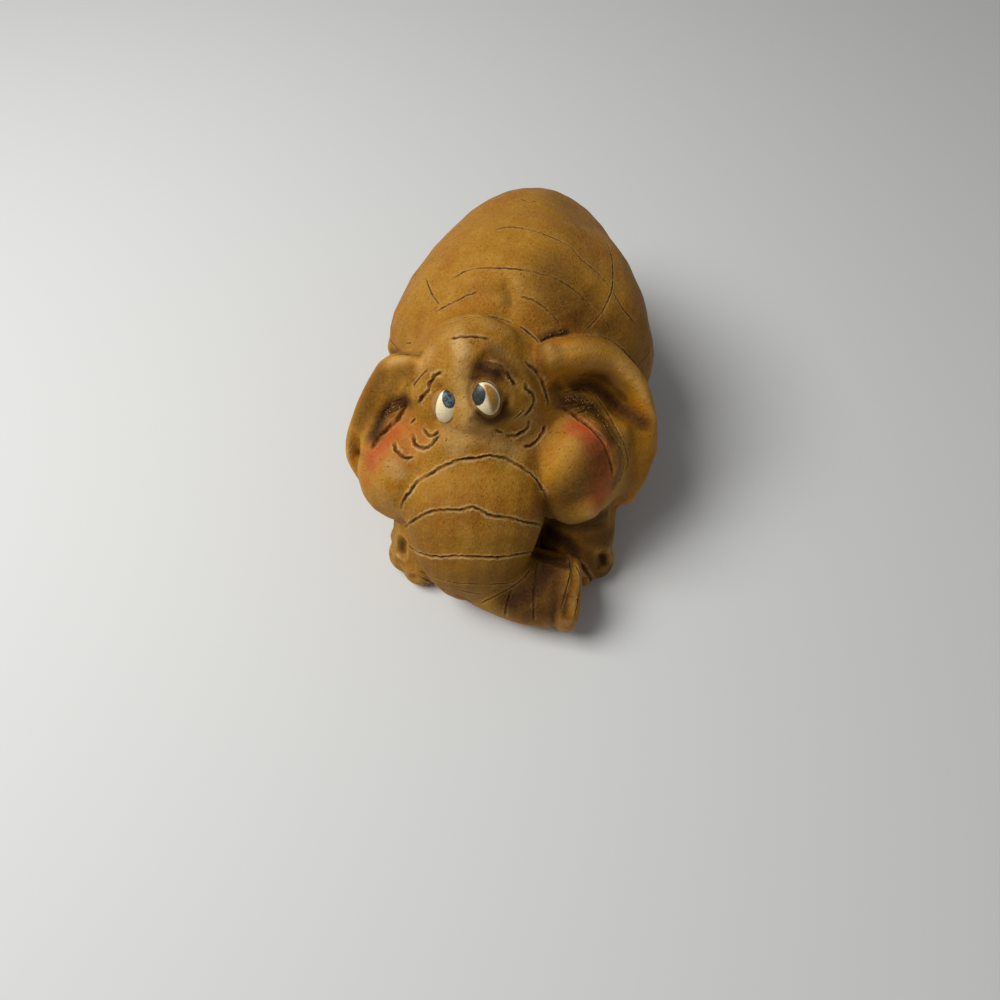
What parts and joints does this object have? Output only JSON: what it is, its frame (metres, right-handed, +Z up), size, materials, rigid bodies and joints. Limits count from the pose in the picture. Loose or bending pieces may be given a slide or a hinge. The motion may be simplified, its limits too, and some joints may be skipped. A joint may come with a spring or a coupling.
{
  "type": "elephant figurine",
  "caption": "Small squat clay elephant figurine with cupped ears, puffed rosy cheeks and a fat trunk curled on the ground.",
  "frame": {"origin": "on the ground under the middle of the figurine's box", "axes": "+Z up, the elephant faces -Y, its left side is +X"},
  "size_m": [0.0506, 0.0786, 0.0444],
  "materials": {
    "ochre_clay": "matte",
    "rose_blush": "matte",
    "eye_white": "satin"
  },
  "bodies": {
    "root": {"body": "ochre_clay", "cheek_left": "rose_blush", "cheek_right": "rose_blush", "chest": "ochre_clay", "ear_left": "ochre_clay", "ear_right": "ochre_clay", "eye_left": "eye_white", "eye_right": "eye_white", "front_left_toe_1": "ochre_clay", "front_left_toe_2": "ochre_clay", "front_left_toe_3": "ochre_clay", "front_leg_left": "ochre_clay", "front_leg_right": "ochre_clay", "front_right_toe_1": "ochre_clay", "front_right_toe_2": "ochre_clay", "front_right_toe_3": "ochre_clay", "head": "ochre_clay", "hind_left_toe_1": "ochre_clay", "hind_left_toe_2": "ochre_clay", "hind_left_toe_3": "ochre_clay", "hind_leg_left": "ochre_clay", "hind_leg_right": "ochre_clay", "hind_right_toe_1": "ochre_clay", "hind_right_toe_2": "ochre_clay", "hind_right_toe_3": "ochre_clay", "tail": "ochre_clay", "tail_tuft": "ochre_clay", "trunk": "ochre_clay", "trunk_lip": "ochre_clay", "trunk_tip": "ochre_clay"}
  },
  "joints": []
}
